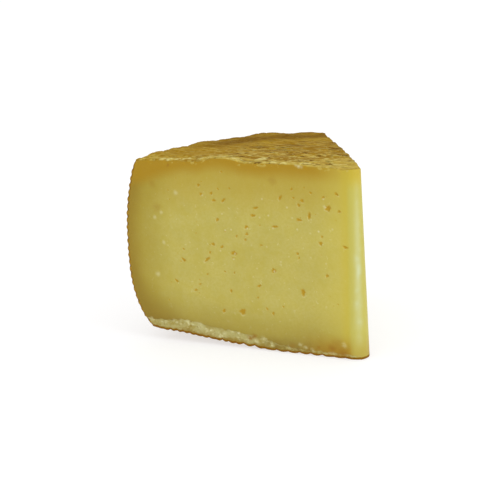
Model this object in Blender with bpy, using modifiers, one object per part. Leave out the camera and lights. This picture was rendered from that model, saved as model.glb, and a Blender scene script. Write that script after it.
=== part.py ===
"""A wedge of pecorino: one sixth of a small basket-drained wheel, standing on its lower face.

Units are metres and +Z is up. The shapes are modelled round the wheel's own vertical axis, with
the front knife cut along -X and the second cut turned back from it, and the finished wedge is then
moved so that the origin lies on its flat underside, at the middle of its footprint.
"""

import math
import random

import bmesh
import bpy
from mathutils import Matrix, Vector, noise

MM = 0.001

# Driving dimensions of the wheel and of the wedge cut from it. The second cut leans out towards the base
# by the lean given here, and the tip's rounding grows with it. The rounding given is the one at the top.
WHEEL_RADIUS = 110.6 * MM
WHEEL_HEIGHT = 80.0 * MM
WEDGE_ANGLE = math.radians(60.0)
TIP_ROUNDING = 4.2 * MM
TIP_FACETS = 8
CUT_LEAN = 2.9 * MM

# The bulged side: full radius at the belly, drawn in towards the top edge and the heel
BELLY_HEIGHT = 47.0 * MM
TOP_DRAW = 5.4 * MM
HEEL_HEIGHT = 5.9 * MM
HEEL_DRAW = 9.9 * MM
HEEL_POWER = 3.6

# The underside: flat inside, curling up to the heel, and a little more along the cuts
FLAT_RADIUS = 86.0 * MM
CURL_RADIUS = 38.0 * MM
CURL_POWER = 1.4
CURL_REACH = 14.0 * MM

# The basket's weave, pressed into the side and the underside
SIDE_PITCH = 3.17 * MM
CENTRE_PITCH = 5.2 * MM
CENTRE_RADIUS = 58.0 * MM
UNMARKED_RADIUS = 29.0 * MM
SIDE_RIB = 0.62 * MM
HEEL_RIB = 0.36 * MM
HEEL_RIB_TOP = 20.0 * MM
SIDE_RIB_BOTTOM = 44.0 * MM
BASE_RIB = 0.5 * MM
STAKE_ANGLE = math.radians(6.0)
WEAVE_SHARE = 0.35

# The underside stands on three crests, each at a distance from the axis and an angle from the front cut.
# The other crests, and the worn flat spot in the middle of the footprint, are a hair higher.
REST_POINTS = (
    (20.0 * MM, math.radians(31.5)),
    (85.0 * MM, math.radians(13.5)),
    (85.0 * MM, math.radians(46.5)),
)
CREST_LIFT = 0.12 * MM
SPOT_LIFT = 0.01 * MM
SPOT_RADIUS = 4.0 * MM
SPOT_EDGE = 7.0 * MM

# The top: slightly crowned, with one swelling at the front, and lower along the second cut and the rim
TOP_LEVEL = 0.95 * MM
CROWN_HEIGHT = 0.6 * MM
CROWN_RADIUS = 42.0 * MM
CROWN_WIDTH = 24.0 * MM
SWELL_RADIUS = 64.5 * MM
SWELL_HEIGHT = 1.7 * MM
SWELL_WIDTH = 8.5 * MM
SWELL_DEPTH = 16.0 * MM
CUT_FALL_REACH = 22.0 * MM
SECOND_FALL = 1.1 * MM
SECOND_FALL_START = 22.0 * MM
CORNER_FALL = 1.3 * MM
CORNER_FALL_REACH = 7.0 * MM
RIM_FALL = 0.1 * MM
RIM_FALL_REACH = 12.0 * MM
RIM_WAVE = 0.35 * MM
RIM_WAVE_FIRST = math.radians(9.0)
RIM_WAVE_ANGLE = math.radians(17.0)

# The marks of the mat that it dried on, which run parallel to the front cut
SLAT_PITCH = 14.5 * MM
SLAT_PHASE = 0.47
SLAT_RELIEF = 0.6 * MM
REED_PITCH = 5.2 * MM
REED_RELIEF = 0.35 * MM
REED_WAVE_X = 17.0 * MM
REED_WAVE_Y = 9.0 * MM
REED_WAVE_SHARE = 0.4
RIB_MEAN = 0.6
UNEVENNESS = 0.5 * MM
UNEVENNESS_SIZE = 22.0 * MM

# The uncut wheel reaches this far above its nominal top, for the mat's relief to be cut from it
LID = 4.0 * MM
CUTTER_MARGIN = 8.0 * MM

# How finely the turned wheel and the mat's sheet are divided
WHEEL_STEPS = 120
SIDE_ROWS_PER_RIB = 4
BASE_ROWS_PER_RIB = 3
MAT_ROWS_PER_REED = 4
MAT_COLUMN = 7.0 * MM
SLOPE_STEP = 0.1 * MM

# The break along the front cut's lower edge, where the crust tore away
BREAK_START = 26.0 * MM
BREAK_FULL = 60.0 * MM
BREAK_FADE = 99.0 * MM
BREAK_END = 109.0 * MM
BREAK_HEIGHT = 5.6 * MM
BREAK_DEPTH = 1.5 * MM
BREAK_LIP = 0.25
BREAK_THIN = 0.3
BREAK_RAGGEDNESS = 0.6
BREAK_CHIP = 6.0 * MM
BREAK_PIECES = 24

# The front cut's largest eyes, in mm: distance from the axis, height above the base, width and height
FRONT_EYES = (
    (55.7, 16.8, 2.8, 2.6),
    (27.6, 27.8, 1.8, 3.0),
    (40.7, 36.1, 2.2, 2.2),
    (58.9, 42.4, 2.8, 2.4),
    (71.7, 38.9, 2.0, 3.0),
    (82.9, 37.7, 2.4, 1.8),
    (19.3, 49.4, 1.8, 2.2),
    (39.8, 55.0, 2.8, 1.6),
    (49.5, 59.4, 2.6, 1.8),
    (24.1, 60.7, 1.8, 2.6),
    (63.0, 65.1, 2.2, 2.0),
    (36.9, 67.7, 1.8, 1.8),
    (15.8, 64.4, 2.8, 2.4),
)

# The second cut's eyes are scattered over its middle
SECOND_EYE_COUNT = 10
SECOND_EYE_NEAREST = 20.0 * MM
SECOND_EYE_FARTHEST = 90.0 * MM
SECOND_EYE_LOWEST = 18.0 * MM
SECOND_EYE_HIGHEST = 68.0 * MM
SECOND_EYE_SMALLEST = 1.8 * MM
SECOND_EYE_LARGEST = 3.0 * MM
EYE_GAP = 6.0 * MM
EYE_DEPTH_SHARE = 0.8
EYE_SUNK_SHARE = 0.15
EYE_TURN = math.radians(40.0)
EYE_SEED = 7

# Points closer together than these are joined: within one shape, and where the cuts leave slivers
MERGE = 0.01 * MM
SLIVER = 0.02 * MM

# How far the tip's rounding reaches along the front cut, which is the same all the way down
TIP_REACH = TIP_ROUNDING / math.tan(WEDGE_ANGLE / 2)

PASTE_COLOUR = (0.50, 0.44, 0.11, 1.0)
PASTE_ROUGHNESS = 0.45


def smooth_step(low, high, value):
    """0 below low, 1 above high, and an even S-curve between them."""
    share = min(1.0, max(0.0, (value - low) / (high - low)))
    return share * share * (3 - 2 * share)


def behind_second_cut(x, y):
    """How far a point of the plan lies inside the second cut's upper edge."""
    return -x * math.sin(WEDGE_ANGLE) - y * math.cos(WEDGE_ANGLE)


def lean_out(height):
    """How far the second cut stands out beyond its upper edge at a height."""
    return CUT_LEAN * (1 - height / WHEEL_HEIGHT)


def tip_rounding(height):
    """The radius that touches both cuts at a height, as far along the front cut as it does at the top."""
    return TIP_ROUNDING + lean_out(height) / (1 + math.cos(WEDGE_ANGLE))


# The wheel's axis, seen from the middle of the wedge's footprint
BACK_ANGLE = WEDGE_ANGLE + math.asin(lean_out(BELLY_HEIGHT) / WHEEL_RADIUS)
AXIS_X = (WHEEL_RADIUS + TIP_REACH - tip_rounding(0.0)) / 2
AXIS_Y = -WHEEL_RADIUS * math.sin(BACK_ANGLE) / 2


def side_radius(height):
    """The wheel's radius at a height, before the basket's marks."""
    if height > BELLY_HEIGHT:
        share = (height - BELLY_HEIGHT) / (WHEEL_HEIGHT - BELLY_HEIGHT)
        return WHEEL_RADIUS - TOP_DRAW * share**2
    share = (BELLY_HEIGHT - height) / (BELLY_HEIGHT - HEEL_HEIGHT)
    return WHEEL_RADIUS - HEEL_DRAW * share**HEEL_POWER


HEEL_RADIUS = side_radius(HEEL_HEIGHT)


def curl(radius, start):
    """How far the underside has risen at a radius, if it starts to rise at another."""
    share = max(0.0, (radius - start) / (HEEL_RADIUS - start))
    return HEEL_HEIGHT * share**CURL_POWER


def underside_height(x, y):
    """The underside's height: flat inside the wheel, curled up at the heel and along the cuts."""
    radius = math.hypot(x, y)
    inside = smooth_step(0.0, CURL_REACH, min(y, behind_second_cut(x, y) + CUT_LEAN))
    at_cut = curl(radius, CURL_RADIUS)
    return at_cut + (curl(radius, FLAT_RADIUS) - at_cut) * inside


def rib(phase):
    """One strand's rounded back, 1 at its crest and 0 in the groove beside it."""
    return abs(math.sin(math.pi * phase))


def weave(angle, strand):
    """Strands pass over and under the basket's stakes in turn. The front cut lies between two stakes."""
    return math.cos(math.pi * (angle / STAKE_ANGLE + 0.5 + strand))


def side_rows():
    """Radius, height and rib phase down the side. Whole phases are the grooves between strands."""
    step = SIDE_PITCH / SIDE_ROWS_PER_RIB
    height = WHEEL_HEIGHT
    length = 0.0
    rows = [(side_radius(height), height, 0.0)]
    while height > HEEL_HEIGHT:
        slope = (side_radius(height) - side_radius(height - SLOPE_STEP)) / SLOPE_STEP
        steepness = math.hypot(1.0, slope)
        drop = min(step / steepness, height - HEEL_HEIGHT)
        height -= drop
        length += drop * steepness
        rows.append((side_radius(height), height, length / SIDE_PITCH))
    return rows


def base_rows(phase):
    """The same in along the underside, from the heel to the axis, going on from the side's last phase."""
    rows = []
    radius = HEEL_RADIUS
    while radius > CENTRE_PITCH:
        pitch = SIDE_PITCH if radius > CENTRE_RADIUS else CENTRE_PITCH
        radius -= pitch / BASE_ROWS_PER_RIB
        phase += 1.0 / BASE_ROWS_PER_RIB
        rows.append((radius, 0.0, phase))
    return rows


def new_object(name, data, collection):
    made = bpy.data.objects.new(name, data)
    collection.objects.link(made)
    return made


def applied_mesh(made):
    """The mesh that the object's modifiers make of it."""
    return bpy.data.meshes.new_from_object(made.evaluated_get(bpy.context.evaluated_depsgraph_get()))


def mesh_object(name, shape, collection):
    """An object of the bmesh, its faces turned out and split into triangles."""
    bmesh.ops.recalc_face_normals(shape, faces=shape.faces)
    bmesh.ops.triangulate(shape, faces=shape.faces)
    mesh = bpy.data.meshes.new(name)
    shape.to_mesh(mesh)
    shape.free()
    return new_object(name, mesh, collection)


def turned_wheel(name, collection):
    """The whole wheel: its section turned about the axis by a Screw, then pressed by the basket."""
    side = side_rows()
    base = base_rows(side[-1][2])
    lid = WHEEL_HEIGHT + LID
    profile = [(0.0, lid), (side[0][0] - LID, lid), *((row[0], row[1]) for row in side + base), (0.0, 0.0)]
    turn = Matrix.Rotation(math.pi / WHEEL_STEPS, 3, "Z")
    points = [turn @ Vector((radius, 0.0, height)) for radius, height in profile]
    section = bpy.data.meshes.new("section")
    section.from_pydata(points, [(index, index + 1) for index in range(len(points) - 1)], [])
    turned = new_object("turned", section, collection)
    screw = turned.modifiers.new("turn", "SCREW")
    screw.angle = 2 * math.pi
    screw.steps = screw.render_steps = WHEEL_STEPS
    screw.use_merge_vertices = True
    screw.merge_threshold = MERGE
    shape = bmesh.new()
    shape.from_mesh(applied_mesh(turned))
    bpy.data.objects.remove(turned)
    press_basket(shape, side, base)
    return mesh_object(name, shape, collection)


def press_basket(shape, side, base):
    """Moves the wheel's points to the strands that the basket left, on its side and on its underside."""
    for vertex in shape.verts:
        x, y, height = vertex.co
        radius = math.hypot(x, y)
        if height > WHEEL_HEIGHT + LID / 2:
            continue
        if height > HEEL_HEIGHT / 2:
            phase = min(side, key=lambda row: abs(row[1] - height))[2]
            woven = 1 - WEAVE_SHARE + WEAVE_SHARE * weave(math.atan2(y, -x), math.floor(phase))
            depth = HEEL_RIB + (SIDE_RIB - HEEL_RIB) * smooth_step(HEEL_RIB_TOP, SIDE_RIB_BOTTOM, height)
            grown = (radius + depth * (rib(phase) * woven - 0.5)) / radius
            vertex.co = (x * grown, y * grown, height)
            continue
        phase = min(base, key=lambda row: abs(row[0] - radius))[2]
        groove = BASE_RIB * (1 - rib(phase)) * smooth_step(0.0, UNMARKED_RADIUS, radius)
        off_spot = smooth_step(SPOT_RADIUS, SPOT_EDGE, math.hypot(x + AXIS_X, y + AXIS_Y))
        marked = underside_height(x, y) + CREST_LIFT + groove
        vertex.co.z = SPOT_LIFT + (marked - SPOT_LIFT) * off_spot
    for radius, angle in REST_POINTS:
        point = Vector((-radius * math.cos(angle), radius * math.sin(angle), 0.0))
        min(shape.verts, key=lambda vertex: (vertex.co - point).length).co.z = 0.0


def top_height(x, y):
    """The top's height: crowned, swollen at one place, and marked by the mat's slats and reeds."""
    radius = math.hypot(x, y)
    crown = CROWN_HEIGHT * math.exp(-(((radius - CROWN_RADIUS) / CROWN_WIDTH) ** 2))
    swell = SWELL_HEIGHT * math.exp(-(((x + SWELL_RADIUS) / SWELL_WIDTH) ** 4) - (y / SWELL_DEPTH) ** 2)
    slats = SLAT_RELIEF * (rib(y / SLAT_PITCH + SLAT_PHASE) - RIB_MEAN)
    wave = 1 - REED_WAVE_SHARE + REED_WAVE_SHARE * math.sin(x / REED_WAVE_X + y / REED_WAVE_Y)
    reeds = REED_RELIEF * (rib(y / REED_PITCH) - RIB_MEAN) * wave
    uneven = UNEVENNESS * noise.noise(Vector((x, y, 0.0)) / UNEVENNESS_SIZE)
    edge = side_radius(WHEEL_HEIGHT)
    behind = behind_second_cut(x, y)
    second = SECOND_FALL * (1 - smooth_step(0.0, CUT_FALL_REACH, behind))
    second *= smooth_step(SECOND_FALL_START, edge, radius)
    rim = RIM_FALL - RIM_WAVE * math.cos(2 * math.pi * (math.atan2(y, -x) - RIM_WAVE_FIRST) / RIM_WAVE_ANGLE)
    rim *= 1 - smooth_step(0.0, RIM_FALL_REACH, edge - radius)
    corner = CORNER_FALL * (1 - smooth_step(0.0, CORNER_FALL_REACH, behind))
    corner *= 1 - smooth_step(0.0, CORNER_FALL_REACH, edge - radius)
    return WHEEL_HEIGHT + TOP_LEVEL + crown + swell + slats + reeds + uneven - second - rim - corner


def mat_block(collection):
    """A block whose top carries the mat's marks, and which reaches well past the wheel elsewhere."""
    width = WHEEL_RADIUS + 2 * CUTTER_MARGIN
    depth = WHEEL_RADIUS * math.sin(WEDGE_ANGLE) + 2 * CUTTER_MARGIN
    columns = round(width / MAT_COLUMN)
    rows = round(depth / (REED_PITCH / MAT_ROWS_PER_REED))
    shape = bmesh.new()
    bmesh.ops.create_grid(shape, x_segments=columns, y_segments=rows, size=0.5)
    place = Matrix.Translation((CUTTER_MARGIN - width / 2, depth / 2 - CUTTER_MARGIN, 0.0))
    size = Matrix.Diagonal((width, depth, 1.0, 1.0))
    bmesh.ops.transform(shape, matrix=place @ size, verts=shape.verts)
    for vertex in shape.verts:
        vertex.co.z = top_height(vertex.co.x, vertex.co.y)
    grown = bmesh.ops.extrude_face_region(shape, geom=shape.faces[:])
    for corner in grown["geom"]:
        if isinstance(corner, bmesh.types.BMVert):
            corner.co.z = -CUTTER_MARGIN
    return mesh_object("mat_block", shape, collection)


def cut_outline(height):
    """The plan of the two cuts at a height, reaching past the wheel, with the rounded tip between them."""
    reach = WHEEL_RADIUS / math.cos(WEDGE_ANGLE / 2) + CUTTER_MARGIN
    rounding = tip_rounding(height)
    centre = Vector((-TIP_REACH, rounding, height))
    outline = [Vector((-reach, 0.0, height))]
    for facet in range(TIP_FACETS + 1):
        angle = (math.pi - WEDGE_ANGLE) * facet / TIP_FACETS - math.pi / 2
        outline.append(centre + rounding * Vector((math.cos(angle), math.sin(angle), 0.0)))
    outline.append(outline[-1] + reach * Vector((-math.cos(WEDGE_ANGLE), math.sin(WEDGE_ANGLE), 0.0)))
    return outline


def knife_cuts(collection):
    """The block that the two cuts leave, between its outlines below and above the wheel."""
    shape = bmesh.new()
    foot = [shape.verts.new(point) for point in cut_outline(-CUTTER_MARGIN)]
    head = [shape.verts.new(point) for point in cut_outline(WHEEL_HEIGHT + CUTTER_MARGIN)]
    shape.faces.new(foot)
    shape.faces.new(head)
    for corner in range(len(foot)):
        shape.faces.new((foot[corner - 1], foot[corner], head[corner], head[corner - 1]))
    return mesh_object("knife_cuts", shape, collection)


def second_eyes():
    """The second cut's eyes, as in FRONT_EYES but in metres, each clear of the ones before it."""
    chance = random.Random(EYE_SEED)
    eyes = []
    while len(eyes) < SECOND_EYE_COUNT:
        distance = chance.uniform(SECOND_EYE_NEAREST, SECOND_EYE_FARTHEST)
        height = chance.uniform(SECOND_EYE_LOWEST, SECOND_EYE_HIGHEST)
        if any(math.hypot(distance - eye[0], height - eye[1]) < EYE_GAP for eye in eyes):
            continue
        width = chance.uniform(SECOND_EYE_SMALLEST, SECOND_EYE_LARGEST)
        eyes.append((distance, height, width, chance.uniform(SECOND_EYE_SMALLEST, width)))
    return eyes


def eye_cutters(collection):
    """One flattened ball for each eye, sunk in its cut. The second cut's are turned round the axis to it."""
    shape = bmesh.new()
    front_eyes = [[size * MM for size in eye] for eye in FRONT_EYES]
    second_cut = Matrix.Rotation(-WEDGE_ANGLE, 4, "Z")
    for eyes, turn, side in ((front_eyes, Matrix.Identity(4), 1), (second_eyes(), second_cut, -1)):
        for index, (distance, height, width, tall) in enumerate(eyes):
            tilt = Matrix.Rotation(EYE_TURN * index, 4, "Y")
            size = Matrix.Diagonal((width / 2, EYE_DEPTH_SHARE * width / 2, tall / 2, 1.0))
            out = 0.0 if side > 0 else lean_out(height)
            place = Matrix.Translation((-distance, out + side * EYE_SUNK_SHARE * width, height))
            bmesh.ops.create_icosphere(shape, subdivisions=1, radius=1.0, matrix=turn @ place @ size @ tilt)
    return mesh_object("eyes", shape, collection)


def break_strength(radius):
    """How much of the crust is torn away at a distance from the axis: most in the outer half."""
    grown = BREAK_THIN + (1 - BREAK_THIN) * smooth_step(BREAK_START, BREAK_FULL, radius)
    return grown * (1 - smooth_step(BREAK_FADE, BREAK_END, radius))


def edge_break(collection):
    """A ragged bar laid along the front cut's lower edge: it leans in from the cut down to the crust."""
    length = BREAK_END - BREAK_START
    shape = bmesh.new()
    bmesh.ops.create_cube(shape, size=1.0)
    place = Matrix.Translation((-(BREAK_START + BREAK_END) / 2, 0.0, 0.0))
    size = Matrix.Diagonal((length, 4 * BREAK_DEPTH, 2 * BREAK_HEIGHT, 1.0))
    bmesh.ops.transform(shape, matrix=place @ size, verts=shape.verts)
    along = [edge for edge in shape.edges if abs((edge.verts[0].co - edge.verts[1].co).x) > length / 2]
    bmesh.ops.subdivide_edges(shape, edges=along, cuts=BREAK_PIECES, use_grid_fill=True)
    for vertex in shape.verts:
        x, y, z = vertex.co
        ragged = noise.noise(Vector((x / BREAK_CHIP, 0.0, math.copysign(1.0, z))))
        strength = break_strength(-x) * (1 + BREAK_RAGGEDNESS * ragged)
        vertex.co.z = underside_height(x, 0.0) + (BREAK_HEIGHT * strength if z > 0 else -BREAK_DEPTH)
        if y > 0:
            vertex.co.y = BREAK_DEPTH * strength * (BREAK_LIP if z > 0 else 1.0)
    return mesh_object("edge_break", shape, collection)


def paste_material():
    material = bpy.data.materials.new("pecorino")
    material.use_nodes = True
    shader = material.node_tree.nodes["Principled BSDF"]
    shader.inputs["Base Color"].default_value = PASTE_COLOUR
    shader.inputs["Roughness"].default_value = PASTE_ROUGHNESS
    shader.inputs["Metallic"].default_value = 0.0
    return material


def main():
    for old in list(bpy.data.objects):
        bpy.data.objects.remove(old)
    parts = bpy.data.collections.new("pecorino")
    cutters = bpy.data.collections.new("cutters")
    bpy.context.scene.collection.children.link(parts)
    bpy.context.scene.collection.children.link(cutters)

    wedge = turned_wheel("pecorino_wedge", parts)
    steps = (
        ("mat", mat_block(cutters), "INTERSECT"),
        ("cuts", knife_cuts(cutters), "INTERSECT"),
        ("break", edge_break(cutters), "DIFFERENCE"),
        ("eyes", eye_cutters(cutters), "DIFFERENCE"),
    )
    for name, cutter, operation in steps:
        cutter.hide_render = True
        cutter.display_type = "WIRE"
        boolean = wedge.modifiers.new(name, "BOOLEAN")
        boolean.object = cutter
        boolean.operation = operation
        boolean.solver = "EXACT"
    weld = wedge.modifiers.new("slivers", "WELD")
    weld.merge_threshold = SLIVER
    wedge.data.materials.append(paste_material())
    for made in [wedge, *cutters.objects]:
        made.location = (AXIS_X, AXIS_Y, 0.0)


main()
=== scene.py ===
"""The looks of the pecorino wedge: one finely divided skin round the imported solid, and a plain studio.

Lengths are in millimetres round the wheel's axis: the front cut runs along -X at y 0, the body is at
+y and the underside at z 0. The skin becomes metres in the row frame only when its mesh is made.
"""

import math

import bmesh
import bpy
import numpy as np
from mathutils import Matrix, Vector, geometry, noise


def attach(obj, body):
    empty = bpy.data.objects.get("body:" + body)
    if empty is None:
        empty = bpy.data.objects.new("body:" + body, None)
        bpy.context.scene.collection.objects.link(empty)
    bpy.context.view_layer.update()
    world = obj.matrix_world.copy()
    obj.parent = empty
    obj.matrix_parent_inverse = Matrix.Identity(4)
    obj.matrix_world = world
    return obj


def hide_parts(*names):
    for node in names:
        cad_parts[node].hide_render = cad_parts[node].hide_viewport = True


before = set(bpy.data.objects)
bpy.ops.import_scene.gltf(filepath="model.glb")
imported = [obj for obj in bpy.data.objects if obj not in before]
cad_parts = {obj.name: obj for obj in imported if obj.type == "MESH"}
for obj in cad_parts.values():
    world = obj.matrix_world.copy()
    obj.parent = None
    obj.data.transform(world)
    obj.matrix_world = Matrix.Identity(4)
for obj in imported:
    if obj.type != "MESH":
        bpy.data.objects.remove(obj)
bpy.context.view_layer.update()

NODE = "pecorino_wedge"
MM = 0.001

# The wheel and the wedge, as the solid has them
WHEEL_RADIUS = 110.6
WHEEL_HEIGHT = 80.0
WEDGE_ANGLE = math.radians(60.0)
TIP_ROUNDING = 4.2
CUT_LEAN = 2.9
TIP_REACH = TIP_ROUNDING / math.tan(WEDGE_ANGLE / 2)
BELLY_HEIGHT = 47.0
TOP_DRAW = 5.4
HEEL_HEIGHT = 5.9
HEEL_DRAW = 9.9
HEEL_POWER = 3.25
FLAT_RADIUS = 86.0
CURL_RADIUS = 38.0
CURL_POWER = 1.4
CURL_REACH = 14.0

# The basket's marks on the side and the underside
SIDE_PITCH = 3.17
CENTRE_PITCH = 5.2
CENTRE_RADIUS = 58.0
UNMARKED_RADIUS = 29.0
SIDE_RIB = 0.62
HEEL_RIB = 0.36
HEEL_RIB_TOP = 20.0
SIDE_RIB_BOTTOM = 44.0
BASE_RIB = 0.5
EDGE_GROOVE = 1.5
EDGE_GROOVE_REACH = 5.0
EDGE_UNMARKED = 14.0
EDGE_RIB = 1.5
EDGE_RIB_REACH = 6.0
EDGE_GROOVE_SHARE = 0.75
EDGE_GROOVE_CHANGE = 0.6
HEEL_SAG = 0.6
HEEL_SAG_RADIUS = 95.5
HEEL_SAG_WIDTH = 7.0
STAKE_ANGLE = math.radians(6.0)
WEAVE_SHARE = 0.35
CREST_LIFT = 0.12

# The top's crown, swelling and falls, and the marks of the mat
TOP_LEVEL = 0.95
CROWN_HEIGHT = 0.6
CROWN_RADIUS = 42.0
CROWN_WIDTH = 24.0
SWELL_RADIUS = 64.5
SWELL_HEIGHT = 1.7
SWELL_WIDTH = 8.5
SWELL_DEPTH = 16.0
CUT_FALL_REACH = 22.0
SECOND_FALL = 1.1
SECOND_FALL_START = 22.0
CORNER_FALL = 0.8
CORNER_FALL_REACH = 7.0
RIM_FALL = -0.05
RIM_FALL_REACH = 12.0
RIM_WAVE = 0.35
RIM_WAVE_FIRST = math.radians(9.0)
RIM_WAVE_ANGLE = math.radians(17.0)
SLAT_PITCH = 14.5
SLAT_PHASE = 0.47
SLAT_RELIEF = 0.6
REED_PITCH = 5.2
REED_RELIEF = 0.35
REED_WAVE_X = 17.0
REED_WAVE_Y = 9.0
REED_WAVE_SHARE = 0.4
RIB_MEAN = 0.6
UNEVENNESS = 0.5
UNEVENNESS_SIZE = 22.0
STREAK_RELIEF = 0.3

# How far the cuts wave, broadly and finely, and how far in from the tip and the rim they stay flat
FRONT_WAVE = 0.16
SECOND_WAVE = 0.2
FINE_WAVE = 0.03
TIP_FADE = 8.0
RIM_FADE = 5.0
FIBRE_RELIEF = 0.07
FIBRE_CLOUDS = 0.05

# How finely the skin is divided
FRONT_COLUMNS = 190
RIM_COLUMNS = 184
SECOND_COLUMNS = 170
TIP_COLUMNS = 18
CORNER_COLUMNS = 5
WALL_ROWS = 146
ROUND_ROWS = 4
CAP_SPACING = 0.62
CAP_MARGIN = 0.4

# What the plain skin keeps of each point: its outward normal, its share of a cut, and how far it faces up
LAYERS = ("nx", "ny", "nz", "cut", "tilt")

# Roundings: of the upright corners at the rim, which grow near the top, and of the upper and lower edges
CORNER_ROUNDING = 0.6
CORNER_TOP_ROUNDING = 1.5
CORNER_FLARE = 3.0
CUT_TOP_ROUNDING = 0.6
CUT_TOP_CRUMBLE = 1.2
CUT_BASE_ROUNDING = 0.35
RIM_TOP_ROUNDING = 1.1
RIM_BASE_ROUNDING = 0.1

# The break along the front cut's lower edge
BREAK_START = 26.0
BREAK_FULL = 60.0
BREAK_HEIGHT = 5.6
BREAK_DEPTH = 1.0
BREAK_THIN = 0.4
BREAK_SWELL = 0.16
BREAK_SWELL_DISTANCE = 78.0
BREAK_SWELL_WIDTH = 10.0
BREAK_HEEL_START = 92.0
BREAK_HEEL_SHARE = 0.35
BREAK_WARP_REACH = 4.5
LINE_LIFT = 0.5

# The break's pale crumbs: distance from the axis, height above the lower edge, radius, and how bright
CRUMBS = (
    (100.2, 3.4, 1.5, 0.6), (93.5, 4.1, 1, 0.6), (89.6, 5, 1.2, 0.6), (86.3, 4.4, 1.1, 0.8),
    (82.6, 5.5, 1.2, 0.8), (80.4, 5, 0.8, 0.7), (76.9, 5, 2.6, 0.5), (73.5, 3, 2.4, 0.3),
    (71.2, 4.4, 1.1, 1), (70.6, 3.4, 2.5, 0.5), (67.3, 2.4, 1.2, 0.95), (65.2, 3.7, 1.6, 0.5),
    (60.9, 5.4, 1.1, 0.6), (58, 5.2, 1.2, 1), (50.2, 2.7, 1.8, 0.6), (46.5, 5, 1.8, 0.6),
    (42.8, 3.2, 1.1, 0.9), (35, 3, 1.2, 0.5), (29.4, 4.2, 1.2, 0.4), (27.4, 3.5, 1.2, 0.5),
    (24.2, 2.7, 1.3, 0.6), (15.2, 1.8, 1.4, 0.4), (9.6, 6, 1.6, 0.45),
)
CRUMB_HEIGHT = 0.22

# The tip's paler strip, a painted highlight and partly a paler worn edge: which way it faces at the top
# and at the base, and its width, in degrees. It fades in between two distances from the top and from the
# base.
TIP_HIGHLIGHT_TURN = -38.0
TIP_HIGHLIGHT_BASE_TURN = -53.0
TIP_HIGHLIGHT_WIDTH = 16.0
TIP_HIGHLIGHT_FADE = (2.0, 24.0)

# The front cut's eyes: distance from the axis, height, half width, half height, and lean in degrees
LARGE_EYES = (
    (55.7, 16.8, 1.35, 1.2, 20), (27.6, 27.8, 0.85, 1.55, 5), (40.7, 36.1, 1, 0.9, 0),
    (58.9, 42.4, 1.35, 0.85, -10), (71.6, 38.8, 0.55, 1.6, -50), (82.9, 37.7, 1.15, 0.6, -35),
    (19.3, 49.4, 0.75, 0.8, 0), (39.6, 55.2, 1.4, 0.5, 4), (49.5, 59.4, 1.1, 0.6, 0),
    (63, 65.1, 0.5, 1.2, -45), (24.1, 60.7, 0.6, 1.5, -5), (36.9, 67.7, 0.55, 1.15, -32),
    (15.8, 64.4, 1.3, 1.1, 10), (48.1, 62.7, 1.2, 0.5, 15), (28.8, 58.8, 1.2, 0.6, -12),
    (10.9, 63.4, 0.7, 0.6, 0), (52.7, 54.2, 0.9, 0.7, 30),
)
SMALL_EYES = (
    (63.3, 77.4), (65.3, 69.9), (59.9, 70.4), (73.4, 67.3), (68.5, 67.9), (67.4, 64.9), (66.1, 56.6),
    (30.9, 68), (23.2, 70.5), (12, 70.6), (17.7, 68.9), (27.1, 67), (28.6, 65), (57.4, 50),
    (53.3, 48.7), (52.6, 51.2), (46.1, 46.8), (64.4, 44.8), (68.5, 45.7), (70.2, 41.9), (59.3, 40.2),
    (82.8, 42.6), (71.8, 32.1), (63.4, 34), (59, 33.8), (16.7, 35.8), (18.7, 52.3), (8.5, 48.5),
    (29.7, 44.3), (29.1, 42.5), (75.5, 27.4), (77.7, 24.6), (86.9, 28), (60.8, 25.7), (47.6, 28.9),
    (48.3, 23.7), (64.6, 16.4), (44.3, 19.1), (41.5, 17.3), (36.8, 20.7), (62.6, 51.8), (74.3, 71.1),
    (31.6, 71.6),
)
SMALL_EYE_SIZE = (0.44, 0.78)

# Painted highlights, as tiny bright points on the front cut, mostly at the eyes: distance from the axis,
# height, and how bright
GLINTS = (
    (62.6, 52.1, 1), (58.6, 42.1, 1), (20.1, 54.4, 1), (17, 64.7, 1), (59.1, 39.8, 0.8),
    (59.8, 52.6, 0.7), (52.3, 53.6, 0.8), (33.9, 63.7, 0.7), (40.5, 54.4, 0.7), (40.6, 35.8, 0.9),
    (29.6, 54.7, 0.7), (42.4, 59.8, 0.7), (63.8, 59.2, 0.6), (45.1, 66.7, 0.6), (65.2, 43, 0.6),
    (37.4, 40.2, 0.5), (48.4, 36.5, 0.4), (31.7, 59.4, 0.5), (79.6, 45.7, 0.4), (43.6, 46.3, 0.4),
    (17.1, 40.9, 0.4), (17.7, 68.2, 0.5), (46.4, 58.7, 0.5), (72.7, 66.8, 0.5), (14, 55.7, 0.5),
)
GLINT_SIZE = 0.45

# Scattered eyes. An area is given by its nearest and farthest distance and its lowest and highest height
PORE_COUNT = 28
PORE_SIZE = (0.2, 0.36)
PORE_AREA = (6.0, 96.0, 10.0, 76.0)
SECOND_LARGE_COUNT = 14
SECOND_LARGE_SIZE = (0.8, 1.3)
SECOND_LARGE_AREA = (14.0, 88.0, 14.0, 70.0)
SECOND_EYE_COUNT = 52
SECOND_EYE_AREA = (10.0, 92.0, 12.0, 74.0)
EYE_DEPTH = 0.4
# Painted highlight on each eye's rim: which way it faces, and its distance and width in eye sizes
EYE_HIGHLIGHT_TURN = math.radians(-105.0)
EYE_HIGHLIGHT_DISTANCE = 1.3
EYE_HIGHLIGHT_WIDTH = 0.22
REFINED_ROUND_EYE = 0.5

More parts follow.
